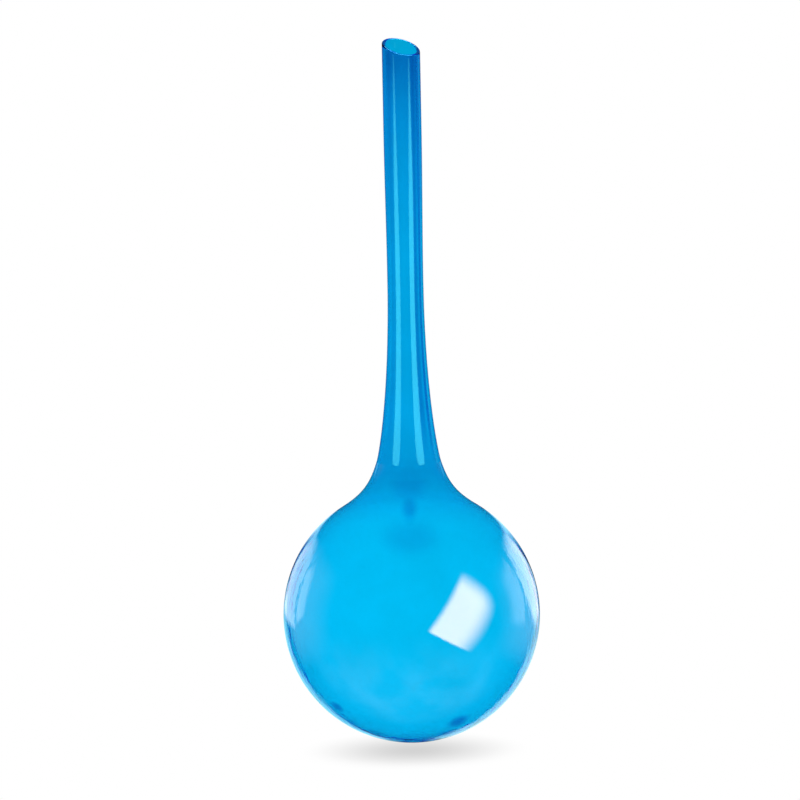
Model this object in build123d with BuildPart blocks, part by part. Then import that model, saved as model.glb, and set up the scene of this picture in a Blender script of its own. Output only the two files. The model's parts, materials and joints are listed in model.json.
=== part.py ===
"""Watering globe: a blown ball with a flared collar, a drawn stem with a slanted mouth, and the weld between them.

Millimetres, +Z up. The origin is the middle of the small flat that the ball stands on. The stem points up, and its
mouth slants down towards -Y. Every piece is a body of revolution about Z, apart from that slant.
"""

from build123d import *
import os
from math import cos, radians, sin, sqrt

# Ball: a thin blown globe with a flat foot
ball_diameter = 98.0
ball_wall = 0.7
foot_diameter = 17.0

# Shoulder and collar: the ball's skin turns up into a short trumpet, thicker towards its level rim
shoulder_angle = 32.2
shoulder_pull = 10.2
collar_rise = 10.2
collar_pull = 8.3
flare_angle = 17.7
rim_diameter = 24.57
neck_wall = 1.2

# Scarf: the cone on which the collar, thinned on its inside, laps over the foot of the stem
scarf_angle = 7.0
collar_edge = 0.15
scarf_length = 3.6

# Stem: straight tip, narrow waist, trumpet foot
bore_diameter = 11.8
tip_wall = 1.35
tip_length = 32.0
waist_wall = 0.95
waist_rise = 69.0
stem_rise = 161.8
foot_pull = 3.5
waist_pull = 42.0
taper_ease = 0.4

# Mouth: cut on a slant, with softened edges
mouth_slant = 21.8
lip_radius = 0.45

# Weld: the film on the scarf
weld_film = 0.16
weld_start = 0.2
weld_length = 3.2
fit_clearance = 0.04

# Heights and radii that follow from the sizes above
ball_radius = ball_diameter / 2
foot_radius = foot_diameter / 2
ball_centre = sqrt(ball_radius**2 - foot_radius**2)
rim_height = ball_centre + ball_radius + collar_rise
waist_height = rim_height + waist_rise
mouth_height = rim_height + stem_rise
tip_height = mouth_height - tip_length
taper_pull = taper_ease * (tip_height - waist_height)

bore_radius = bore_diameter / 2
tip_radius = bore_radius + tip_wall
waist_radius = bore_radius + waist_wall
rim_radius = rim_diameter / 2
weld_outside = collar_edge + fit_clearance
weld_inside = weld_outside + weld_film
stem_edge = weld_inside + fit_clearance


def along(point, angle, distance):
    """The point that lies a distance away, in a direction given by its outward angle from straight down."""
    return (point[0] + distance * sin(radians(angle)), point[1] - distance * cos(radians(angle)))


def rim_point(inset):
    """The point of the level rim that lies inset from the outer skin."""
    return (rim_radius - inset / cos(radians(flare_angle)), rim_height)


def ball_outline(inset, rim_inset):
    """Half outline of the ball and its collar, closed along the axis, drawn inset from the outer skin."""
    radius = ball_radius - inset
    base = sqrt(radius**2 - (ball_centre - inset) ** 2)
    foot = (base, inset)
    side = (radius, ball_centre)
    shoulder = (radius * sin(radians(shoulder_angle)), ball_centre + radius * cos(radians(shoulder_angle)))
    rim = rim_point(rim_inset)
    collar_handle = along(rim, flare_angle, collar_pull)
    shoulder_handle = along(shoulder, 90 - shoulder_angle, -shoulder_pull)
    with BuildLine() as outline:
        Polyline((0, rim_height), (0, inset), foot)
        RadiusArc(foot, side, -radius)
        RadiusArc(side, shoulder, -radius)
        Bezier(shoulder, shoulder_handle, collar_handle, rim)
        Line(rim, (0, rim_height))
    return outline.edges()


def scarf_outline(inset):
    """Half outline of a cone steeper than the collar, from the rim down, closed along the axis."""
    top = rim_point(inset)
    slope = flare_angle - scarf_angle
    bottom = along(top, slope, scarf_length / cos(radians(slope)))
    with BuildLine() as outline:
        Polyline(top, bottom, (0, bottom[1]), (0, rim_height), top)
    return outline.edges()


def stem_outline():
    """Half section of the stem above the rim, from the uncut mouth down the outside and back up the bore."""
    tip = (tip_radius, tip_height)
    waist = (waist_radius, waist_height)
    rim = rim_point(0)
    throat = rim_point(neck_wall)
    bore = (bore_radius, waist_height)
    with BuildLine() as outline:
        Polyline((bore_radius, mouth_height), (tip_radius, mouth_height), tip)
        Bezier(tip, along(tip, 0, taper_pull), along(waist, 0, -taper_pull), waist)
        Bezier(waist, along(waist, 0, waist_pull), along(rim, flare_angle, -foot_pull), rim)
        Line(rim, throat)
        Bezier(throat, along(throat, flare_angle, -foot_pull), along(bore, 0, waist_pull), bore)
        Line(bore, (bore_radius, mouth_height))
    return outline.edges()


# Bulb: the blown globe, with its collar thinned on the scarf
with BuildPart() as bulb:
    with BuildSketch(Plane.XZ):
        make_face(ball_outline(0, 0))
        make_face(ball_outline(ball_wall, neck_wall), mode=Mode.SUBTRACT)
        make_face(scarf_outline(collar_edge), mode=Mode.SUBTRACT)
    revolve(axis=Axis.Z)

# Stem: the tube with its foot inside the collar, cut on a slant at the mouth
with BuildPart() as stem:
    with BuildSketch(Plane.XZ):
        make_face(scarf_outline(stem_edge))
        make_face(ball_outline(ball_wall, neck_wall), mode=Mode.SUBTRACT)
        make_face(stem_outline())
    revolve(axis=Axis.Z)
    slant = Plane(origin=(0, tip_radius, mouth_height), x_dir=(1, 0, 0)).rotated((mouth_slant, 0, 0))
    split(bisect_by=slant, keep=Keep.BOTTOM)
    mouth = stem.faces().sort_by(Axis.Z)[-1]
    fillet(mouth.edges(), radius=min(lip_radius, 0.45 * tip_wall))

# Neck weld: the film on the scarf, between the collar and the foot of the stem
with BuildPart() as neck_weld:
    with BuildSketch(Plane.XZ):
        make_face(scarf_outline(weld_outside))
        make_face(scarf_outline(weld_inside), mode=Mode.SUBTRACT)
        with Locations((0, rim_height - weld_start)):
            Rectangle(ball_radius, weld_length, align=(Align.MIN, Align.MAX), mode=Mode.INTERSECT)
    revolve(axis=Axis.Z)

os.makedirs("parts", exist_ok=True)
bulb.part.label = "bulb"
stem.part.label = "stem"
neck_weld.part.label = "neck_weld"
export_step(bulb.part, "parts/bulb.step")
export_step(stem.part, "parts/stem.step")
export_step(neck_weld.part, "parts/neck_weld.step")
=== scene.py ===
"""Watering globe: the looks of a blown, see-through blue vessel with a slim slanted stem.

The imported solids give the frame. Each of the three pieces is turned afresh as a smooth mesh on the same outline, with
its real wall, so that light is tinted by the depth of plastic that it crosses.
"""

import json
import logging
import math
from dataclasses import dataclass, field
from enum import Enum

import bmesh
import bpy
from mathutils import Matrix, Vector


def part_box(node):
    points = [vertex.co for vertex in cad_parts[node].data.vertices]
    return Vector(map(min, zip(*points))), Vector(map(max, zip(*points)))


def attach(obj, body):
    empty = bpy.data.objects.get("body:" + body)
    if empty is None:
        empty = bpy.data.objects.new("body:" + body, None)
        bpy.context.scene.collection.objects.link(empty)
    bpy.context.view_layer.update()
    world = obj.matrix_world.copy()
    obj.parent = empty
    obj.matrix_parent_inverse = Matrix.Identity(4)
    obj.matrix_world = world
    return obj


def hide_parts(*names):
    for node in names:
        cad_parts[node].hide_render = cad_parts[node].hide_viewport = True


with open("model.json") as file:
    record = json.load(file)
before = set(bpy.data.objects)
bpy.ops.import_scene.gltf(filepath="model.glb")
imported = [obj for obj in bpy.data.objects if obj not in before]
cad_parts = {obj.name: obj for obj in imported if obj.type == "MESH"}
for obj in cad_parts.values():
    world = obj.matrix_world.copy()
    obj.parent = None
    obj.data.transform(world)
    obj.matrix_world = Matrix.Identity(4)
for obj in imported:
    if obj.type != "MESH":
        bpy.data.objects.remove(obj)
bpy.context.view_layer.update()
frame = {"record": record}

LOG = logging.getLogger("watering_globe")
MM = 0.001
BODY = "root"
UP = Vector((0, 0, 1))
WHITE = (1.0, 1.0, 1.0, 1.0)
SRGB_KNEE, SRGB_SLOPE, SRGB_SHIFT, SRGB_POWER = 0.04045, 12.92, 0.055, 2.4
NOISE_DETAIL = 2.0
NOISE_SPAN = (0.35, 0.65)
Point = tuple[float, float]
Tree = bpy.types.NodeTree
Socket = bpy.types.NodeSocket
Thing = bpy.types.Object


class Piece(Enum):
    """The pieces of the vessel, by the names of their solids."""

    BULB = "bulb"
    STEM = "stem"
    WELD = "neck_weld"


def linear(hex_colour: str) -> tuple[float, float, float, float]:
    """Turns an sRGB hex colour into linear light.

    Args:
        hex_colour: six hex digits.

    Returns:
        Red, green and blue, from 0 to 1, and an alpha of 1.
    """
    shares = [int(hex_colour[i : i + 2], 16) / 255 for i in (0, 2, 4)]
    light = [((s + SRGB_SHIFT) / (1 + SRGB_SHIFT)) ** SRGB_POWER if s > SRGB_KNEE else s / SRGB_SLOPE for s in shares]
    return (*light, 1.0)


def add_node(tree: Tree, kind: str, inputs: dict | None = None, **settings) -> bpy.types.Node:
    """Adds a node with its settings, and sets or links its inputs.

    Args:
        tree: the node tree to add to.
        kind: the node's Blender type.
        inputs: value or output socket for each input, by name or place.
        settings: the node's own properties.

    Returns:
        The new node.
    """
    node = tree.nodes.new(kind)
    for name, value in settings.items():
        setattr(node, name, value)
    for name, value in (inputs or {}).items():
        socket = node.inputs[name]
        if isinstance(value, Socket):
            tree.links.new(value, socket)
        else:
            socket.default_value = value
    return node


def maths(tree: Tree, operation: str, *values) -> Socket:
    """Adds a sum of numbers.

    Args:
        tree: the node tree to add to.
        operation: the kind of sum.
        values: number or output socket for each input, in order.

    Returns:
        The result.
    """
    return add_node(tree, "ShaderNodeMath", dict(enumerate(values)), operation=operation).outputs[0]


def vectors(tree: Tree, operation: str, *values) -> Socket:
    """Adds a sum of vectors.

    Args:
        tree: the node tree to add to.
        operation: the kind of sum.
        values: vector or output socket for each input, in order.

    Returns:
        The result, which is a number for a dot product, a length or a distance.
    """
    node = add_node(tree, "ShaderNodeVectorMath", dict(enumerate(values)), operation=operation)
    return node.outputs["Value" if operation in ("DOT_PRODUCT", "LENGTH", "DISTANCE") else "Vector"]


def ranged(tree: Tree, value: Socket, source: tuple, target: tuple, eased: bool = False) -> Socket:
    """Moves a number from one range to another, and keeps it within that.

    Args:
        tree: the node tree to add to.
        value: the number.
        source: both ends of its range.
        target: both ends of the result's range.
        eased: whether the change is slower near both ends.

    Returns:
        The result.
    """
    change = "SMOOTHSTEP" if eased else "LINEAR"
    inputs = dict(enumerate((value, *source, *target)))
    return add_node(tree, "ShaderNodeMapRange", inputs, interpolation_type=change).outputs[0]


def blank_tree(owner: bpy.types.ID) -> Tree:
    """Gives a material, light or world an empty node tree.

    Args:
        owner: what the tree is for.

    Returns:
        The tree.
    """
    owner.use_nodes = True
    owner.node_tree.nodes.clear()
    return owner.node_tree


def stand(name: str, data: bpy.types.ID) -> Thing:
    """Puts a new object into the scene.

    Args:
        name: the object's name.
        data: its mesh, light or camera.

    Returns:
        The object.
    """
    thing = bpy.data.objects.new(name, data)
    bpy.context.scene.collection.objects.link(thing)
    return thing


def light_only(lamp: Thing, thing: Thing) -> None:
    """Keeps a lamp's light to one thing.

    Args:
        lamp: the lamp.
        thing: what it lights.
    """
    only = bpy.data.collections.new(lamp.name + "_lights")
    only.objects.link(thing)
    lamp.light_linking.receiver_collection = only


def turned_from(back: Vector) -> Matrix:
    """Turns a lamp or camera, level from side to side.

    Args:
        back: the direction that its back points in.

    Returns:
        The turn, whose first column is its right.
    """
    right = UP.cross(back).normalized()
    return Matrix((right, back.cross(right), back)).transposed().to_4x4()


@dataclass(frozen=True)
class VesselSizes:
    """Real sizes of the vessel, in metres. The first four are read from the frame."""

    ball_radius: float
    rim_height: float
    tip_radius: float
    bore_radius: float
    ball_wall: float = 0.7 * MM
    foot_radius: float = 8.5 * MM
    shoulder_angle: float = math.radians(32.2)
    shoulder_pull: float = 10.2 * MM
    collar_pull: float = 8.3 * MM
    flare_angle: float = math.radians(17.7)
    rim_radius: float = 12.285 * MM
    neck_wall: float = 1.2 * MM
    scarf_angle: float = math.radians(7.0)
    collar_edge: float = 0.06 * MM
    weld_gap: float = 0.004 * MM
    weld_film: float = 0.16 * MM
    tip_length: float = 32.0 * MM
    waist_wall: float = 0.95 * MM
    waist_rise: float = 69.0 * MM
    stem_rise: float = 161.75 * MM
    foot_pull: float = 3.5 * MM
    waist_pull: float = 42.0 * MM
    taper_ease: float = 0.4
    mouth_slant: float = math.radians(21.8)
    lip_reach: float = 0.62 * MM

    @classmethod
    def from_frame(cls, record: dict) -> "VesselSizes":
        """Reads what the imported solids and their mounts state.

        Args:
            record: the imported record.

        Returns:
            The sizes of the vessel.
        """
        mounts = {m["name"]: m for m in record["mounts"]}
        low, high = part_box(Piece.BULB.value)
        return cls(
            ball_radius=min(high.x, high.y, -low.x, -low.y),
            rim_height=high.z,
            tip_radius=mounts["stem_tip"]["dims"]["r_mm"] * MM,
            bore_radius=mounts["mouth"]["dims"]["r_mm"] * MM,
        )

    @property
    def ball_centre(self) -> float:
        """Height of the ball's middle above the foot."""
        return math.sqrt(self.ball_radius**2 - self.foot_radius**2)

    @property
    def waist_height(self) -> float:
        """Height of the stem's narrowest place."""
        return self.rim_height + self.waist_rise

    @property
    def mouth_height(self) -> float:
        """Height of the mouth's highest point before its edge is softened."""
        return self.rim_height + self.stem_rise

    def rim_point(self, inset: float) -> Point:
        """The point of the level rim that lies inset from the outer skin."""
        return (self.rim_radius - inset / math.cos(self.flare_angle), self.rim_height)


def along(point: Point, angle: float, distance: float) -> Point:
    """Steps from a point of an outline.

    Args:
        point: radius and height.
        angle: outward angle from straight down.
        distance: how far to step.

    Returns:
        The point reached.
    """
    return (point[0] + distance * math.sin(angle), point[1] - distance * math.cos(angle))


def blended(shares: tuple[float, ...], points: tuple[Point, ...]) -> Point:
    """Adds up points by their shares.

    Args:
        shares: how much of each point is taken.
        points: the points.

    Returns:
        The point between them.
    """
    return tuple(sum(s * p[k] for s, p in zip(shares, points)) for k in (0, 1))


def between(start: Point, end: Point, share: float) -> Point:
    """The point at a share of the way from start to end."""
    return (start[0] + (end[0] - start[0]) * share, start[1] + (end[1] - start[1]) * share)


def spaced(start: Point, end: Point, steps: int) -> list[Point]:
    """Divides a straight run into equal steps, and gives the points from start to end."""
    return [between(start, end, i / steps) for i in range(steps + 1)]


@dataclass
class Outline:
    """A half outline of a turned piece: radius and height of each point, in order."""

    SAME_POINT = 1e-7
    points: list[Point] = field(default_factory=list)

    def line(self, *corners: Point) -> "Outline":
        """Goes straight to each corner in turn."""
        self.points.extend(corners)
        return self

    def arc(self, centre: Point, radius: float, start: float, end: float, steps: int) -> "Outline":
        """Follows a circle.

        Args:
            centre: the circle's middle.
            radius: its radius.
            start: first angle, from straight up, outwards.
            end: last angle.
            steps: number of steps.

        Returns:
            The outline itself.
        """
        for i in range(steps + 1):
            a = start + (end - start) * i / steps
            self.points.append((centre[0] + radius * math.sin(a), centre[1] + radius * math.cos(a)))
        return self

    def curve(self, start: Point, pull_a: Point, pull_b: Point, end: Point, steps: int) -> "Outline":
        """Follows a cubic curve.

        Args:
            start: where it starts.
            pull_a: the handle at the start.
            pull_b: the handle at the end.
            end: where it ends.
            steps: number of steps.

        Returns:
            The outline itself.
        """
        for i in range(steps + 1):
            t = i / steps
            shares = ((1 - t) ** 3, 3 * t * (1 - t) ** 2, 3 * t * t * (1 - t), t**3)
            self.points.append(blended(shares, (start, pull_a, pull_b, end)))
        return self

    def place(self, corner: Point) -> int:
        """The place in the list of the point nearest to a corner."""
        return min(range(len(self.points)), key=lambda i: math.dist(self.points[i], corner))

    def soften(self, corner: Point, radius: float, steps: int = 6) -> "Outline":
        """Rounds one corner.

        Args:
            corner: the point to round, as it was given.
            radius: how far the round reaches along both sides.
            steps: number of steps in the round.

        Returns:
            The outline itself.
        """
        here = self.place(corner)
        (first, start), (last, end) = (self._step_back(here, step, radius) for step in (-1, 1))
        bend = []
        for i in range(steps + 1):
            t = i / steps
            bend.append(blended(((1 - t) ** 2, 2 * t * (1 - t), t * t), (start, corner, end)))
        self.points[first + 1 : last] = bend
        return self

    def _step_back(self, here: int, step: int, reach: float) -> tuple[int, Point]:
        """Finds the place at a distance from a corner along one side.

        Args:
            here: the corner's place in the list.
            step: -1 for the side before it, 1 for the side after.
            reach: the distance.

        Returns:
            The place in the list of the first point beyond, and the point at that distance.
        """
        corner = self.points[here]
        i = here + step
        while math.dist(self.points[i], corner) <= reach:
            i += step
        inner, outer = self.points[i - step], self.points[i]
        a, b = math.dist(inner, corner), math.dist(outer, corner)
        return i, between(inner, outer, (reach - a) / (b - a))

    def clean(self, closed: bool) -> list[Point]:
        """Drops repeated points.

        Args:
            closed: whether the outline ends where it started.

        Returns:
            The points, with the first one repeated at the end of a closed outline.
        """
        kept = [self.points[0]]
        for p in self.points[1:]:
            if math.dist(p, kept[-1]) > self.SAME_POINT:
                kept.append(p)
        if closed:
            if math.dist(kept[0], kept[-1]) <= self.SAME_POINT:
                kept.pop()
            kept.append(kept[0])
        return kept


class Lathe:
    """A node tree that turns an outline about Z, slants what lies near the mouth and marks bonded faces."""

    SEGMENTS = 192
    WELD_DISTANCE = 0.0005 * MM
    BONDED = "bonded"
    INPUTS = {
        "NodeSocketGeometry": ("Outline",),
        "NodeSocketInt": ("Segments",),
        "NodeSocketFloat": ("Slant", "Slant Start", "Slant End", "Slant Edge", "Bond First", "Bond Last"),
        "NodeSocketMaterial": ("Finish",),
    }

    def __init__(self) -> None:
        """Builds the tree with its named inputs."""
        self.tree = bpy.data.node_groups.new("lathe", "GeometryNodeTree")
        self.inputs: dict[str, str] = {}
        face = self.tree.interface
        for kind, names in self.INPUTS.items():
            for name in names:
                self.inputs[name] = face.new_socket(name, in_out="INPUT", socket_type=kind).identifier
        face.new_socket("Piece", in_out="OUTPUT", socket_type="NodeSocketGeometry")
        self._wire()

    def _wire(self) -> None:
        """Links the nodes: a grid whose rows follow the outline and whose columns go round the axis."""
        tree = self.tree
        given = add_node(tree, "NodeGroupInput").outputs
        count = add_node(tree, "GeometryNodeAttributeDomainSize", {"Geometry": given["Outline"]}, component="MESH")
        points = count.outputs["Point Count"]
        columns = maths(tree, "ADD", given["Segments"], 1.0)
        sides = {"Size X": 1.0, "Size Y": 1.0, "Vertices X": columns, "Vertices Y": points}
        grid = add_node(tree, "GeometryNodeMeshGrid", sides)
        place = add_node(tree, "GeometryNodeInputPosition").outputs[0]
        spot = add_node(tree, "ShaderNodeSeparateXYZ", {0: place}).outputs
        turn = maths(tree, "ADD", spot[0], 0.5)
        angle = maths(tree, "MULTIPLY", turn, math.tau)
        share = maths(tree, "ADD", spot[1], 0.5)
        steps = maths(tree, "SUBTRACT", points, 1.0)
        row = maths(tree, "MULTIPLY", share, steps)
        past = maths(tree, "GREATER_THAN", row, given["Bond First"])
        short = maths(tree, "LESS_THAN", row, given["Bond Last"])
        marked = add_node(
            tree,
            "GeometryNodeStoreNamedAttribute",
            {"Geometry": grid.outputs["Mesh"], "Name": self.BONDED, "Value": maths(tree, "MULTIPLY", past, short)},
            data_type="FLOAT",
            domain="FACE",
        )
        read = add_node(
            tree,
            "GeometryNodeSampleIndex",
            {"Geometry": given["Outline"], "Value": place, "Index": maths(tree, "ROUND", row)},
            data_type="FLOAT_VECTOR",
            domain="POINT",
        )
        on_outline = add_node(tree, "ShaderNodeSeparateXYZ", {0: read.outputs[0]}).outputs
        radius, height = on_outline[0], on_outline[2]
        x = maths(tree, "MULTIPLY", radius, maths(tree, "COSINE", angle))
        y = maths(tree, "MULTIPLY", radius, maths(tree, "SINE", angle))
        weight = ranged(tree, height, (given["Slant Start"], given["Slant End"]), (0.0, 1.0), eased=True)
        fall = maths(tree, "SUBTRACT", y, given["Slant Edge"])
        drop = maths(tree, "MULTIPLY", fall, given["Slant"])
        z = maths(tree, "ADD", height, maths(tree, "MULTIPLY", drop, weight))
        spun = add_node(tree, "ShaderNodeCombineXYZ", {0: x, 1: y, 2: z}).outputs[0]
        bonded = add_node(tree, "GeometryNodeInputNamedAttribute", {"Name": self.BONDED}, data_type="FLOAT")
        border = add_node(
            tree, "FunctionNodeCompare", {"A": bonded.outputs[0], "B": 0.5, "Epsilon": 0.25}, operation="EQUAL"
        ).outputs[0]
        shell = marked.outputs[0]
        for kind, inputs, settings in (
            ("GeometryNodeSetPosition", {"Position": spun}, {}),
            ("GeometryNodeMergeByDistance", {"Distance": self.WELD_DISTANCE}, {}),
            ("GeometryNodeSetShadeSmooth", {}, {}),
            ("GeometryNodeSetShadeSmooth", {"Selection": border, "Shade Smooth": False}, {"domain": "EDGE"}),
            ("GeometryNodeRealizeInstances", {}, {}),
            ("GeometryNodeSetMaterial", {"Material": given["Finish"]}, {}),
        ):
            shell = add_node(tree, kind, {"Geometry": shell} | inputs, **settings).outputs[0]
        add_node(tree, "NodeGroupOutput", {"Piece": shell})

    def turn(self, name: str, points: list[Point], finish: bpy.types.Material, **given: float) -> Thing:
        """Turns an outline into a finished mesh.

        Args:
            name: the new piece's name.
            points: the outline.
            finish: the piece's material.
            given: values of the tree's other inputs, by their names with underscores.

        Returns:
            The piece, as a plain mesh at the origin.
        """
        wire = bpy.data.meshes.new(name + "_outline")
        wire.from_pydata([(r, 0.0, z) for r, z in points], [(i, i + 1) for i in range(len(points) - 1)], [])
        blank = stand(name + "_blank", wire)
        spin = blank.modifiers.new("lathe", "NODES")
        spin.node_group = self.tree
        values = {"Segments": self.SEGMENTS, "Finish": finish, "Slant": 0.0, "Slant Start": 0.0, "Slant End": 1.0}
        values |= {key.replace("_", " ").title(): float(value) for key, value in given.items()}
        for key, value in values.items():
            spin[self.inputs[key]] = value
        graph = bpy.context.evaluated_depsgraph_get()
        mesh = bpy.data.meshes.new_from_object(blank.evaluated_get(graph))
        bpy.data.objects.remove(blank)
        bpy.data.meshes.remove(wire)
        self._face_outwards(mesh)
        mesh.name = name
        return stand(name, mesh)

    @staticmethod
    def _face_outwards(mesh: bpy.types.Mesh) -> None:
        """Turns every face to the outside of its wall.

        Args:
            mesh: a closed mesh.
        """
        shell = bmesh.new()
        shell.from_mesh(mesh)
        bmesh.ops.recalc_face_normals(shell, faces=shell.faces)
        if shell.calc_volume(signed=True) < 0:
            bmesh.ops.reverse_faces(shell, faces=shell.faces)
        shell.to_mesh(mesh)
        shell.free()


@dataclass(frozen=True)
class BluePvc:
    """See-through PVC, dyed blue all through, shaped hot by air and never touched again.

    To the eye it is as glossy as glass. The blue is pale in the thin ball, and deepens in the neck and towards the
    mouth, where the wall is thicker. Reflections waver on the ripples of the blowing, most of all along the mould's
    seam, and the drawn stem shows fine lines along its length. A bonded face has become one with its neighbour, so
    light crosses it without a bend or a gleam.

    Each dye gives a height in millimetres and a colour. The streak and spot marks are painted shade over the dye.
    Each streak gives its turn and half its width in degrees, and its depth. Each spot gives its turn, its height, half
    its width and half its tallness in millimetres, and its depth.
    """

    name: str
    dye: tuple[tuple[float, str], ...] = (
        (0.0, "19EBFF"), (87.0, "19EBFF"), (92.0, "19E3FC"), (95.5, "19DCF4"),
        (98.5, "19D8F0"), (105.0, "19D5ED"), (110.0, "19DDF2"), (122.0, "19E0F6"),
        (205.0, "19DEF5"), (226.0, "19DAF1"), (246.0, "19CFEB"), (262.0, "19BBDF"),
    )
    top_mm: float = 270.0
    taken_per_mm: tuple[float, float, float] = (2.5, 0.14, 0.006)
    cloud_mm: float = 22.0
    cloud_least: float = 0.95
    ior: float = 1.53
    roughness: tuple[float, float] = (0.008, 0.03)
    roughness_span: tuple[float, float] = (0.3, 0.7)
    ripple_mm: float = 6.0
    ripple_height_mm: float = 0.0
    ripple_stretch: float = 2.2
    ripple_fineness: float = 0.45
    ripple_top_mm: tuple[float, float] = (70.0, 86.0)
    ripple_top_least: float = 0.02
    seam_turn: float = 0.0
    seam_reach_mm: tuple[float, float] = (14.0, 34.0)
    seam_least: float = 0.05
    line_mm: float = 1.2
    line_stretch: float = 60.0
    line_detail: float = 3.0
    line_height_mm: float = 0.004
    # How much of red, green and blue the painted shade takes away, for each unit of its depth.
    shade_share: tuple[float, float, float] = (-1.0, -1.0, -0.5)
    # Painted shade: stripes along the stem and patches on the ball.
    shade_streaks: tuple[tuple[float, float, float], ...] = ()
    shade_streak_foot_mm: tuple[float, float] = (107.0, 128.0)
    shade_spots: tuple[tuple[float, float, float, float, float], ...] = ()
    shade_spot_core: float = 0.2
    shade_spot_front_mm: float = 5.0

    def build(self) -> bpy.types.Material:
        """Makes the material.

        Returns:
            The material, with the depth of its wall as a plain absorption.
        """
        material = bpy.data.materials.new(self.name)
        tree = blank_tree(material)
        place = add_node(tree, "ShaderNodeTexCoord").outputs["Object"]
        bonded = add_node(tree, "ShaderNodeAttribute", attribute_name=Lathe.BONDED, attribute_type="GEOMETRY")
        fused = bonded.outputs["Fac"]
        clouds = add_node(
            tree, "ShaderNodeTexNoise", {"Vector": place, "Scale": 1 / (self.cloud_mm * MM), "Detail": NOISE_DETAIL}
        ).outputs[0]
        tint_and_shade = self._tint_with_painted_shade(tree, place, clouds)
        colour = add_node(tree, "ShaderNodeMix", {"Factor": fused, "A": tint_and_shade, "B": WHITE}, data_type="RGBA")
        sheen = ranged(tree, clouds, self.roughness_span, self.roughness)
        rough = add_node(tree, "ShaderNodeMix", {0: fused, 2: sheen, 3: 0.0}, data_type="FLOAT")
        bend = add_node(tree, "ShaderNodeMix", {0: fused, 2: self.ior, 3: 1.0}, data_type="FLOAT")
        surface = add_node(
            tree,
            "ShaderNodeBsdfPrincipled",
            {
                "Base Color": colour.outputs["Result"],
                "Roughness": rough.outputs[0],
                "IOR": bend.outputs[0],
                "Transmission Weight": 1.0,
                "Normal": self._relief(tree, place),
            },
        )
        most = max(self.taken_per_mm)
        depth = tuple(1.0 - taken / most for taken in self.taken_per_mm)
        dyed = add_node(tree, "ShaderNodeVolumeAbsorption", {"Color": (*depth, 1.0), "Density": most / MM})
        add_node(tree, "ShaderNodeOutputMaterial", {"Surface": surface.outputs[0], "Volume": dyed.outputs[0]})
        return material

    def _tint_with_painted_shade(self, tree: Tree, place: Socket, clouds: Socket) -> Socket:
        """Colours the surface by its height, with faint clouds, and darkens it with painted shade.

        Args:
            tree: the node tree to work in.
            place: the Object coordinates.
            clouds: a slow noise.

        Returns:
            The colour.
        """
        height = add_node(tree, "ShaderNodeSeparateXYZ", {0: place}).outputs[2]
        share = ranged(tree, height, (0.0, self.top_mm * MM), (0.0, 1.0))
        ramp = add_node(tree, "ShaderNodeValToRGB", {0: share})
        stops = ramp.color_ramp.elements
        while len(stops) < len(self.dye):
            stops.new(0.5)
        for stop, (level, colour) in zip(stops, self.dye):
            stop.position = level / self.top_mm
            stop.color = linear(colour)
        fade = ranged(tree, clouds, NOISE_SPAN, (self.cloud_least, 1.0))
        faded = {0: ramp.outputs[0], "Scale": fade}
        tint_and_shade = add_node(tree, "ShaderNodeVectorMath", faded, operation="SCALE").outputs[0]
        # The painted shade of the stripes and patches darkens the dyed colour.
        for deep in self._painted_shade_streaks(tree, place, height) + self._painted_shade_spots(tree, place, height):
            left = vectors(tree, "MULTIPLY_ADD", deep, self.shade_share, WHITE[:3])
            tint_and_shade = vectors(tree, "MULTIPLY", tint_and_shade, left)
        return tint_and_shade

    def _painted_shade_streaks(self, tree: Tree, place: Socket, height: Socket) -> list[Socket]:
        """Paints shade in stripes along the stem, for dark surroundings seen through its sides, fading at its foot.

        Args:
            tree: the node tree to work in.
            place: the Object coordinates.
            height: their Z.

        Returns:
            How deep each streak is, from 0 to 1.
        """
        flat = vectors(tree, "MULTIPLY", place, (1.0, 1.0, 0.0))
        outward = vectors(tree, "NORMALIZE", flat)
        low, high = self.shade_streak_foot_mm
        depths = []
        for turn, half, depth in self.shade_streaks:
            angle = math.radians(turn)
            near = vectors(tree, "DOT_PRODUCT", outward, (math.sin(angle), -math.cos(angle), 0.0))
            deep = ranged(tree, near, (math.cos(math.radians(half)), 1.0), (0.0, depth), eased=True)
            depths.append(ranged(tree, height, (low * MM, high * MM), (0.0, deep)))
        return depths

    def _painted_shade_spots(self, tree: Tree, place: Socket, height: Socket) -> list[Socket]:
        """Paints shade in patches: the stem's dark side seen through the neck, and a dark arc round the foot.

        Args:
            tree: the node tree to work in.
            place: the Object coordinates.
            height: their Z.

        Returns:
            How deep each spot is, from 0 to 1.
        """
        depths = []
        for turn, level, wide, tall, depth in self.shade_spots:
            angle = math.radians(turn)
            aside = vectors(tree, "DOT_PRODUCT", place, (math.cos(angle), math.sin(angle), 0.0))
            out = vectors(tree, "DOT_PRODUCT", place, (math.sin(angle), -math.cos(angle), 0.0))
            far = maths(tree, "DIVIDE", aside, wide * MM)
            over = maths(tree, "SUBTRACT", height, level * MM)
            high = maths(tree, "DIVIDE", over, tall * MM)
            both = add_node(tree, "ShaderNodeCombineXYZ", {0: far, 1: high})
            reach = vectors(tree, "LENGTH", both.outputs[0])
            deep = ranged(tree, reach, (self.shade_spot_core, 1.0), (depth, 0.0), eased=True)
            depths.append(ranged(tree, out, (0.0, self.shade_spot_front_mm * MM), (0.0, deep)))
        return depths

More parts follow.
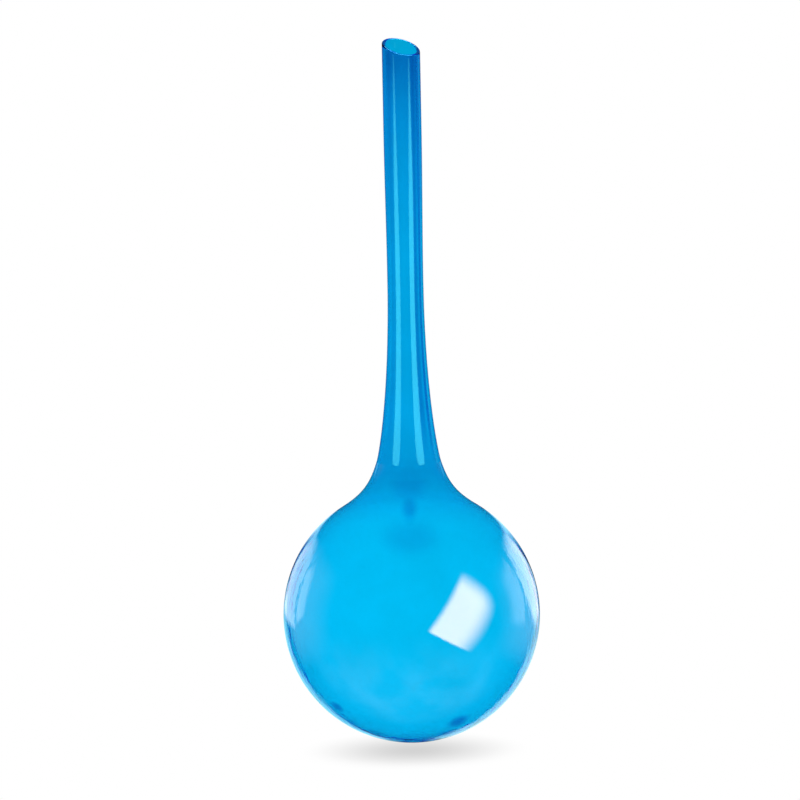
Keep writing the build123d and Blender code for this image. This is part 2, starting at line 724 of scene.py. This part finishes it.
    def _relief(self, tree: Tree, place: Socket) -> Socket:
        """Raises the ripples along the mould's seam and the lines of the drawing.

        Args:
            tree: the node tree to work in.
            place: the Object coordinates.

        Returns:
            The surface's normal.
        """
        turn = math.radians(self.seam_turn)
        away = vectors(tree, "DOT_PRODUCT", place, (math.cos(turn), math.sin(turn), 0.0))
        apart = maths(tree, "ABSOLUTE", away)
        start, end = self.seam_reach_mm
        near = ranged(tree, apart, (start * MM, end * MM), (1.0, self.seam_least), eased=True)
        wave = 1 / (self.ripple_mm * MM)
        drawn = add_node(
            tree, "ShaderNodeMapping", {"Vector": place, "Scale": (wave, wave, wave / self.ripple_stretch)}
        )
        waves = add_node(
            tree,
            "ShaderNodeTexNoise",
            {"Vector": drawn.outputs[0], "Scale": 1.0, "Detail": NOISE_DETAIL, "Roughness": self.ripple_fineness},
        )
        height = add_node(tree, "ShaderNodeSeparateXYZ", {0: place}).outputs[2]
        low, high = self.ripple_top_mm
        below = ranged(tree, height, (low * MM, high * MM), (near, self.ripple_top_least))
        ripple = maths(tree, "MULTIPLY", waves.outputs[0], below)
        slow = add_node(
            tree, "ShaderNodeBump", {"Height": ripple, "Strength": 1.0, "Distance": self.ripple_height_mm * MM}
        )
        step = 1 / (self.line_mm * MM)
        stretched = add_node(
            tree, "ShaderNodeMapping", {"Vector": place, "Scale": (step, step, step / self.line_stretch)}
        )
        lines = add_node(
            tree, "ShaderNodeTexNoise", {"Vector": stretched.outputs[0], "Scale": 1.0, "Detail": self.line_detail}
        )
        raised = {"Height": lines.outputs[0], "Strength": 1.0, "Distance": self.line_height_mm * MM}
        return add_node(tree, "ShaderNodeBump", raised | {"Normal": slow.outputs[0]}).outputs[0]


@dataclass
class Vessel:
    """The three welded pieces: the blown ball, the drawn stem, and the weld in the neck."""

    BALL_STEPS, SHOULDER_STEPS, SCARF_STEPS = 110, 48, 8
    BORE_STEPS, LIP_STEPS, TIP_STEPS, TAPER_STEPS, TRUMPET_STEPS = 60, 4, 30, 24, 64
    FOOT_SHARE = 0.5
    WELD_START_SHARE = 1 / 20
    LID_SHARE = 0.5

    sizes: VesselSizes
    lathe: Lathe
    ball_pvc: BluePvc = BluePvc(
        "blown_blue_pvc",
        ripple_mm=5.0,
        ripple_height_mm=0.28,
        seam_turn=54.0,
        line_height_mm=0.001,
        # Painted shade: three patches at the front of the neck, and a dark arc round the foot.
        shade_spots=(
            (-36.0, 92.4, 4.2, 4.6, 0.3), (-36.0, 83.0, 15.0, 8.0, 0.16), (-36.0, 101.0, 10.0, 9.0, 0.2),
            (-86.7, 17.2, 4.4, 2.8, 0.5), (-3.5, 11.2, 5.8, 3.8, 0.55), (-85.9, 10.3, 5.0, 2.6, 0.2),
            (-74.0, 6.0, 7.0, 2.2, 0.24), (-53.0, 3.4, 8.0, 1.8, 0.26), (-22.0, 3.1, 8.0, 1.8, 0.34),
            (-2.8, 5.7, 7.0, 2.4, 0.42),
        ),
    )
    stem_pvc: BluePvc = BluePvc(
        "drawn_blue_pvc",
        # Painted shade: stripes down the stem's sides and along its left edge.
        shade_streaks=((2.0, 11.0, 0.38), (-81.0, 12.0, 0.2), (22.0, 5.0, 0.75), (-114.0, 10.0, 0.35)),
    )
    weld_pvc: BluePvc = BluePvc("fused_blue_pvc")

    def skin(self, inset: float, rim_inset: float) -> list[Point]:
        """Draws the ball and its collar from the foot up to the rim.

        Args:
            inset: how far inside the outer skin the ball's outline lies.
            rim_inset: the same at the rim.

        Returns:
            The points, from the axis to the rim.
        """
        s = self.sizes
        radius = s.ball_radius - inset
        centre = (0.0, s.ball_centre)
        foot = math.acos(-(s.ball_centre - inset) / radius)
        shoulder = along(centre, math.pi - s.shoulder_angle, radius)
        rim = s.rim_point(rim_inset)
        shoulder_pull = along(shoulder, math.pi / 2 - s.shoulder_angle, -s.shoulder_pull)
        collar_pull = along(rim, s.flare_angle, s.collar_pull)
        outline = Outline()
        outline.line((0.0, inset), (self.FOOT_SHARE * radius * math.sin(foot), inset))
        outline.arc(centre, radius, foot, s.shoulder_angle, self.BALL_STEPS)
        outline.curve(shoulder, shoulder_pull, collar_pull, rim, self.SHOULDER_STEPS)
        return outline.clean(closed=False)

    def scarf(self, inset: float) -> tuple[int, Point, Point]:
        """Draws the steep line on which the collar laps over the foot of the stem.

        Args:
            inset: how far inside the outer skin the line starts at the rim.

        Returns:
            The place in the inner skin of the last point below the line's end, the line's end, and its start.
        """
        s = self.sizes
        inside = self.skin(s.ball_wall, s.neck_wall)
        top = s.rim_point(inset)
        lean = math.tan(s.flare_angle - s.scarf_angle)
        spare = [(r - top[0]) - (s.rim_height - z) * lean for r, z in inside]
        last = max(i for i, value in enumerate(spare) if value > 0)
        share = spare[last] / (spare[last] - spare[last + 1])
        return last, between(inside[last], inside[last + 1], share), top

    def bulb(self) -> Thing:
        """Turns the ball with its wall and its collar, thinned on the scarf.

        Returns:
            The ball.
        """
        s = self.sizes
        last, end, top = self.scarf(s.collar_edge)
        inside = self.skin(s.ball_wall, s.neck_wall)[: last + 1]
        outline = Outline(self.skin(0.0, 0.0) + spaced(top, end, self.SCARF_STEPS) + inside[::-1])
        return self.lathe.turn(
            Piece.BULB.value + "_skin",
            outline.clean(closed=False),
            self.ball_pvc.build(),
            bond_first=outline.place(s.rim_point(0.0)),
            bond_last=outline.place(end),
        )

    def stem(self) -> Thing:
        """Turns the stem with its trumpet, its foot inside the collar and its slanted mouth.

        Returns:
            The stem.
        """
        s = self.sizes
        waist = (s.bore_radius + s.waist_wall, s.waist_height)
        tip = (s.tip_radius, s.mouth_height - s.tip_length)
        ease = s.taper_ease * (tip[1] - waist[1])
        rim = s.rim_point(0.0)
        throat = s.rim_point(s.neck_wall)
        bore = (s.bore_radius, s.waist_height)
        lip_in = (s.bore_radius, s.mouth_height)
        lip_out = (s.tip_radius, s.mouth_height)
        last, end, top = self.scarf(s.collar_edge + s.weld_film + 2 * s.weld_gap)
        step = self.LID_SHARE * s.weld_gap
        lid = (rim[0], rim[1] + step)
        outline = Outline()
        outline.line(*spaced(bore, lip_in, self.BORE_STEPS))
        outline.line(*spaced(lip_in, lip_out, self.LIP_STEPS))
        outline.line(*spaced(lip_out, tip, self.TIP_STEPS))
        outline.curve(tip, along(tip, 0.0, ease), along(waist, 0.0, -ease), waist, self.TAPER_STEPS)
        waist_pull, rim_pull = along(waist, 0.0, s.waist_pull), along(rim, s.flare_angle, -s.foot_pull)
        outline.curve(waist, waist_pull, rim_pull, rim, self.TRUMPET_STEPS)
        outline.points[-1] = lid
        outline.line((top[0], top[1] + step), *spaced(top, end, self.SCARF_STEPS)[1:])
        outline.line(*self.skin(s.ball_wall, s.neck_wall)[last + 1 :])
        throat_pull, bore_pull = along(throat, s.flare_angle, -s.foot_pull), along(bore, 0.0, s.waist_pull)
        outline.curve(throat, throat_pull, bore_pull, bore, self.TRUMPET_STEPS)
        outline.points = outline.clean(closed=False)
        outline.soften(lip_in, s.lip_reach).soften(lip_out, s.lip_reach)
        outline.points = outline.clean(closed=True)
        return self.lathe.turn(
            Piece.STEM.value + "_tube",
            outline.points,
            self.stem_pvc.build(),
            bond_first=outline.place(lid),
            bond_last=outline.place(end),
            slant=math.tan(s.mouth_slant),
            slant_start=s.mouth_height - s.tip_length,
            slant_end=s.mouth_height - s.lip_reach,
            slant_edge=s.tip_radius,
        )

    def weld(self) -> Thing:
        """Turns the film of weld on the scarf.

        Returns:
            The weld.
        """
        s = self.sizes
        sides = []
        for inset in (s.collar_edge + s.weld_gap, s.collar_edge + s.weld_gap + s.weld_film):
            _, end, top = self.scarf(inset)
            sides.append(spaced(between(top, end, self.WELD_START_SHARE), end, self.SCARF_STEPS))
        outline = Outline(sides[1][-1:] + sides[0][::-1] + sides[1])
        points = outline.clean(closed=True)
        return self.lathe.turn(
            Piece.WELD.value + "_film", points, self.weld_pvc.build(), bond_first=1, bond_last=len(points)
        )

    def build(self) -> dict[Piece, Thing]:
        """Makes the pieces and fastens them to the frame.

        Returns:
            The finished pieces.
        """
        made = {}
        for make, piece, slot in (
            (self.bulb, Piece.BULB, "bulb_pvc"),
            (self.stem, Piece.STEM, "stem_pvc"),
            (self.weld, Piece.WELD, "weld_pvc"),
        ):
            thing = make()
            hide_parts(piece.value)
            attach(thing, BODY)
            LOG.info("%s: %d faces", thing.name, len(thing.data.polygons))
            made[piece] = thing
        return made


@dataclass(frozen=True)
class Softbox:
    """A soft lamp that lights one piece, placed by angles round the vessel.

    Angles are in degrees: to the right of the camera, as the camera sees it, and above the level. Lengths are in
    metres. Each corner of the pane gives its place on the lamp and the softness of the side that follows it.
    """

    FADE_END = 1.06
    FADE_LEAST = 0.02

    lights: Piece
    name: str
    right: float
    up: float
    distance: float
    width: float
    height: float
    level: float
    light: str = "FFFFFF"
    base: float = 48.0 * MM
    reach: float = 0.0
    pane: tuple[tuple[float, float, float], ...] = ()

    def build(self, studio: "Studio", piece: Thing) -> Thing:
        """Hangs the lamp.

        Args:
            studio: gives the camera's side of the room.
            piece: the one thing that the lamp lights.

        Returns:
            The lamp.
        """
        lamp = bpy.data.lights.new(self.name, "AREA")
        lamp.shape = "RECTANGLE"
        lamp.size, lamp.size_y = self.width, self.height
        lamp.color = linear(self.light)[:3]
        lamp.energy = self.level * math.pi * self.width * self.height
        if self.pane or self.reach:
            self._mask(lamp)
        box = stand(self.name, lamp)
        back = studio.direction(self.right, self.up)
        middle = Vector((0, 0, self.base)) + back * self.distance
        box.matrix_world = Matrix.Translation(middle) @ turned_from(back)
        box.visible_camera = box.visible_diffuse = box.visible_transmission = False
        light_only(box, piece)
        return box

    def _mask(self, lamp: bpy.types.Light) -> None:
        """Fades the lamp out past its reach and outside its pane.

        Args:
            lamp: the lamp to fade.
        """
        tree = blank_tree(lamp)
        spot = add_node(tree, "ShaderNodeNewGeometry").outputs["Parametric"]
        level = 1.0
        if self.reach:
            length = add_node(tree, "ShaderNodeLightPath").outputs["Ray Length"]
            span = (self.reach, self.FADE_END * self.reach)
            level = ranged(tree, length, span, (1.0, self.FADE_LEAST), eased=True)
        for (x, y, blur), (next_x, next_y, _) in zip(self.pane, self.pane[1:] + self.pane[:1]):
            length = math.dist((x, y), (next_x, next_y))
            inward = ((next_y - y) / length, (x - next_x) / length)
            side = (0.5 * self.width + x) * inward[0] + (0.5 * self.height + y) * inward[1]
            across = (self.width * inward[0], self.height * inward[1], 0.0)
            depth = vectors(tree, "DOT_PRODUCT", spot, across)
            fade = ranged(tree, depth, (side - blur, side + blur), (0.0, 1.0), eased=True)
            level = maths(tree, "MULTIPLY", level, fade)
        light = add_node(tree, "ShaderNodeEmission", {"Color": WHITE, "Strength": level})
        add_node(tree, "ShaderNodeOutputLight", {"Surface": light.outputs[0]})


@dataclass
class Studio:
    """The pale floor, the white surroundings, the lamps and the camera."""

    azimuth: float = -36.0
    elevation: float = 8.0
    distance: float = 4.0
    frame_height: float = 0.3048
    aim_height: float = 131.05 * MM
    aim_left: float = 2.9 * MM
    roll: float = 1.1
    sensor: float = 36.0
    clip: tuple[float, float] = (0.05, 50.0)
    bounces: int = 128
    lamps_crossed: int = 64
    room_light: float = 0.06
    room_mirrored: float = 0.02
    room_front: tuple[float, float] = (-0.5, 0.0)
    room_within: str = "CCECF8"
    floor_half: float = 20.0
    floor_mirrored: float = 0.7
    floor_fall: tuple[float, float] = (-0.1, -0.95)
    patch_scale: float = 2.5
    patch_least: float = 0.2
    sun_right: float = 180.0
    sun_tilt: float = 25.0
    sun_size: float = 45.0
    shadow_depth: float = 0.36
    shadow_reach: float = 46.0 * MM
    shadow_forward: float = 26.0 * MM
    lamps: tuple[Softbox, ...] = (
        Softbox(
            Piece.BULB, "window", 42.5, 6.5, 0.13, 0.24, 0.22, 17.0, "FFCE9C", reach=0.1035,
            pane=((0.006, 0.063, 0.02), (0.052, 0.015, 0.024), (-0.006, -0.06, 0.003), (-0.075, -0.026, 0.007)),
        ),
        Softbox(
            Piece.BULB, "left_wall", -135.0, 0.0, 0.11, 0.3, 0.24, 1.5, base=60 * MM,
            pane=(
                (-0.008, -0.02, 0.008), (-0.008, 0.03, 0.008), (0.02, 0.05, 0.012),
                (0.054, 0.048, 0.003), (0.054, -0.03, 0.004),
            ),
        ),
        Softbox(
            Piece.BULB, "left_near_wall", -135.0, 0.0, 0.112, 0.3, 0.24, 1.6, base=60 * MM,
            pane=(
                (0.06, -0.024, 0.003), (0.06, 0.045, 0.012), (0.08, 0.045, 0.01),
                (0.092, 0.01, 0.01), (0.085, -0.016, 0.005),
            ),
        ),
        Softbox(
            Piece.BULB, "left_side", -100.0, 0.0, 0.15, 0.3, 0.3, 0.5, base=60 * MM,
            pane=((-0.06, -0.06, 0.03), (-0.06, 0.07, 0.03), (0.06, 0.07, 0.04), (0.06, -0.06, 0.04)),
        ),
        Softbox(
            Piece.BULB, "right_wall", 140.0, 0.0, 0.11, 0.3, 0.24, 2.4, base=60 * MM,
            pane=(
                (-0.048, -0.028, 0.008), (-0.07, -0.003, 0.004), (-0.072, 0.03, 0.01),
                (-0.05, 0.056, 0.01), (-0.006, 0.036, 0.012), (-0.006, -0.03, 0.01),
            ),
        ),
        Softbox(
            Piece.BULB, "right_near_wall", 140.0, 0.0, 0.112, 0.36, 0.24, 1.1, base=60 * MM,
            pane=((-0.135, -0.03, 0.025), (-0.135, 0.055, 0.015), (-0.08, 0.06, 0.003), (-0.08, -0.03, 0.01)),
        ),
        Softbox(
            Piece.BULB, "right_side", 105.0, 0.0, 0.15, 0.3, 0.3, 0.5, base=60 * MM,
            pane=((-0.06, -0.07, 0.04), (-0.06, 0.05, 0.04), (0.06, 0.05, 0.03), (0.06, -0.07, 0.03)),
        ),
        Softbox(
            Piece.BULB, "floor_right", 180.0, 0.0, 0.12, 0.4, 0.4, 1.15, "D0FFFA", base=20 * MM,
            pane=(
                (-0.095, -0.112, 0.015), (-0.15, -0.065, 0.02), (-0.15, 0.0, 0.02),
                (-0.015, 0.0, 0.01), (-0.015, -0.1, 0.02), (-0.045, -0.13, 0.02),
            ),
        ),
        Softbox(
            Piece.BULB, "floor_left", 180.0, 0.0, 0.122, 0.3, 0.4, 1.2, "A8F6FF", base=20 * MM,
            pane=((0.015, -0.09, 0.01), (0.015, 0.015, 0.02), (0.11, 0.015, 0.02), (0.11, -0.09, 0.02)),
        ),
        Softbox(
            Piece.BULB, "left_shoulder", 180.0, 0.0, 0.125, 0.3, 0.24, 1.35, "B8EEFF", base=50 * MM,
            pane=((0.035, 0.005, 0.006), (0.035, 0.031, 0.005), (0.125, 0.078, 0.01)),
        ),
        Softbox(
            Piece.BULB, "right_shoulder", 180.0, 0.0, 0.127, 0.3, 0.24, 1.35, "B8EEFF", base=50 * MM,
            pane=((-0.125, 0.076, 0.006), (-0.035, 0.029, 0.005), (-0.035, 0.001, 0.01)),
        ),
        Softbox(Piece.STEM, "mouth_glow", 166.0, 41.0, 0.5, 0.6, 0.6, 2.0, "268BFF", base=262 * MM),
        Softbox(Piece.STEM, "lip_shine", 164.0, 59.0, 0.3, 0.12, 0.1, 12.0, "4AD8FF", base=262 * MM, reach=0.325),
        Softbox(
            Piece.STEM, "right_strip", 46.0, 0.0, 0.25, 0.36, 0.3, 5.0, "6AFFF8", base=200 * MM,
            pane=(
                (-0.092, -0.08, 0.01), (-0.072, -0.028, 0.02), (0.0, 0.04, 0.02),
                (0.063, -0.028, 0.015), (0.05, -0.08, 0.015),
            ),
        ),
        Softbox(
            Piece.STEM, "left_strip", -46.0, 0.0, 0.25, 0.36, 0.3, 4.6, "6AFFF8", base=200 * MM,
            pane=(
                (-0.08, -0.08, 0.015), (-0.074, -0.03, 0.02), (-0.004, 0.04, 0.02),
                (0.05, -0.02, 0.015), (0.056, -0.08, 0.015),
            ),
        ),
        Softbox(Piece.STEM, "right_rim_strip", 122.0, 0.0, 0.8, 0.22, 0.3, 0.35, "6AFFF8", base=200 * MM),
    )

    def direction(self, right: float, up: float) -> Vector:
        """Gives a direction from the vessel.

        Args:
            right: degrees to the right of the camera, as the camera sees it.
            up: degrees above the level.

        Returns:
            The direction, of length 1.
        """
        turn, rise = math.radians(self.azimuth + right), math.radians(up)
        return Vector((math.sin(turn) * math.cos(rise), -math.cos(turn) * math.cos(rise), math.sin(rise)))

    @property
    def towards_camera(self) -> Vector:
        """Direction from the vessel to the camera."""
        return self.direction(0.0, self.elevation)

    def camera(self) -> Thing:
        """Stands the camera where the photograph was taken from.

        Returns:
            The camera.
        """
        back = self.towards_camera
        turned = turned_from(back)
        right = turned.col[0].to_3d()
        lens = bpy.data.cameras.new("photo_camera")
        lens.sensor_width = self.sensor
        lens.lens = lens.sensor_width * self.distance / self.frame_height
        lens.clip_start, lens.clip_end = self.clip
        view = stand("photo_camera", lens)
        aim = Vector((0, 0, self.aim_height)) - right * self.aim_left
        rolled = turned @ Matrix.Rotation(-math.radians(self.roll), 4, "Z")
        view.matrix_world = Matrix.Translation(aim + back * self.distance) @ rolled
        bpy.context.scene.camera = view
        return view

    @staticmethod
    def mirrored(tree: Tree, path: bpy.types.NodeOutputs) -> Socket:
        """Tells a reflection from what is seen straight or through the plastic.

        Args:
            tree: the node tree to work in.
            path: the outputs of its Light Path node.

        Returns:
            A socket that is 1 for a reflection.
        """
        through = maths(tree, "SUBTRACT", 1.0, path["Is Transmission Ray"])
        return maths(tree, "MULTIPLY", path["Is Glossy Ray"], through)

    def world(self) -> None:
        """Surrounds everything with white, while the vessel mirrors a dim room and the floor in front of it."""
        world = bpy.data.worlds.new("white_room")
        tree = blank_tree(world)
        path = add_node(tree, "ShaderNodeLightPath").outputs
        direction = add_node(tree, "ShaderNodeTexCoord").outputs["Generated"]
        facing = vectors(tree, "DOT_PRODUCT", direction, self.towards_camera)
        front = ranged(tree, facing, self.room_front, (0.0, 1.0), eased=True)
        rise = add_node(tree, "ShaderNodeSeparateXYZ", {0: direction}).outputs[2]
        below = ranged(tree, rise, self.floor_fall, (0.0, self.floor_mirrored), eased=True)
        clouds = add_node(
            tree, "ShaderNodeTexNoise", {"Vector": direction, "Scale": self.patch_scale, "Detail": NOISE_DETAIL}
        )
        patchy = ranged(tree, clouds.outputs[0], NOISE_SPAN, (self.patch_least, 1.0))
        lit = maths(tree, "MULTIPLY", below, patchy)
        wall = maths(tree, "MULTIPLY_ADD", lit, front, self.room_mirrored)
        turned = maths(tree, "MINIMUM", path["Glossy Depth"], 1.0)
        within = linear(self.room_within)
        white = add_node(tree, "ShaderNodeMix", {"Factor": turned, "A": WHITE, "B": within}, data_type="RGBA")
        dimmed = {0: path["Is Diffuse Ray"], 2: 1.0, 3: self.room_light}
        plain = add_node(tree, "ShaderNodeMix", dimmed, data_type="FLOAT").outputs[0]
        either = {0: self.mirrored(tree, path), 2: plain, 3: wall}
        level = add_node(tree, "ShaderNodeMix", either, data_type="FLOAT").outputs[0]
        light = add_node(tree, "ShaderNodeBackground", {"Color": white.outputs["Result"], "Strength": level})
        add_node(tree, "ShaderNodeOutputWorld", {"Surface": light.outputs[0]})
        bpy.context.scene.world = world

    def floor(self) -> Thing:
        """Lays a pale floor that is white where nothing shades it, and takes the vessel's shadow near its foot.

        Returns:
            The floor.
        """
        mesh = bpy.data.meshes.new("floor")
        half = self.floor_half
        mesh.from_pydata([(-half, -half, 0), (half, -half, 0), (half, half, 0), (-half, half, 0)], [], [(0, 1, 2, 3)])
        floor = stand("floor", mesh)
        material = bpy.data.materials.new("matt_white_floor")
        tree = blank_tree(material)
        path = add_node(tree, "ShaderNodeLightPath").outputs
        place = add_node(tree, "ShaderNodeTexCoord").outputs["Object"]
        away = vectors(tree, "DISTANCE", place, self.direction(0.0, 0.0) * self.shadow_forward)
        shaded = ranged(tree, away, (0.0, self.shadow_reach), (self.shadow_depth, 0.0), eased=True)
        rest = maths(tree, "SUBTRACT", 1.0, shaded)
        seen = maths(tree, "SUBTRACT", 1.0, path["Is Diffuse Ray"])
        glow = maths(tree, "MULTIPLY", seen, rest)
        lit = add_node(tree, "ShaderNodeBsdfDiffuse", {"Color": shaded})
        pale = add_node(tree, "ShaderNodeEmission", {"Color": WHITE, "Strength": glow})
        both = add_node(tree, "ShaderNodeAddShader", {0: lit.outputs[0], 1: pale.outputs[0]})
        add_node(tree, "ShaderNodeOutputMaterial", {"Surface": both.outputs[0]})
        mesh.materials.append(material)
        floor.visible_glossy = floor.visible_transmission = False
        return floor

    def sun(self, floor: Thing) -> Thing:
        """Hangs the soft overhead light that gives the vessel its shadow on the floor.

        Args:
            floor: what it lights.

        Returns:
            The lamp.
        """
        lamp = bpy.data.lights.new("overhead", "SUN")
        lamp.energy = (1.0 - self.room_light) * math.pi / math.cos(math.radians(self.sun_tilt))
        lamp.angle = math.radians(self.sun_size)
        sun = stand("overhead", lamp)
        back = self.direction(self.sun_right, 90.0 - self.sun_tilt)
        sun.matrix_world = back.to_track_quat("Z", "Y").to_matrix().to_4x4()
        light_only(sun, floor)
        return sun

    def build(self, pieces: dict[Piece, Thing]) -> None:
        """Sets up the whole studio.

        Args:
            pieces: the vessel's pieces.
        """
        bpy.context.scene.view_settings.view_transform = "Standard"
        cycles = bpy.context.scene.cycles
        cycles.max_bounces = cycles.transmission_bounces = cycles.glossy_bounces = self.bounces
        cycles.transparent_max_bounces = self.lamps_crossed
        cycles.caustics_refractive = cycles.caustics_reflective = False
        self.camera()
        self.world()
        self.sun(self.floor())
        for lamp in self.lamps:
            lamp.build(self, pieces[lamp.lights])


def main() -> None:
    """Builds the vessel and the studio."""
    logging.basicConfig(level=logging.INFO, format="%(message)s")
    sizes = VesselSizes.from_frame(frame["record"])
    pieces = Vessel(sizes, Lathe()).build()
    Studio().build(pieces)


if __name__ == "__main__":
    main()
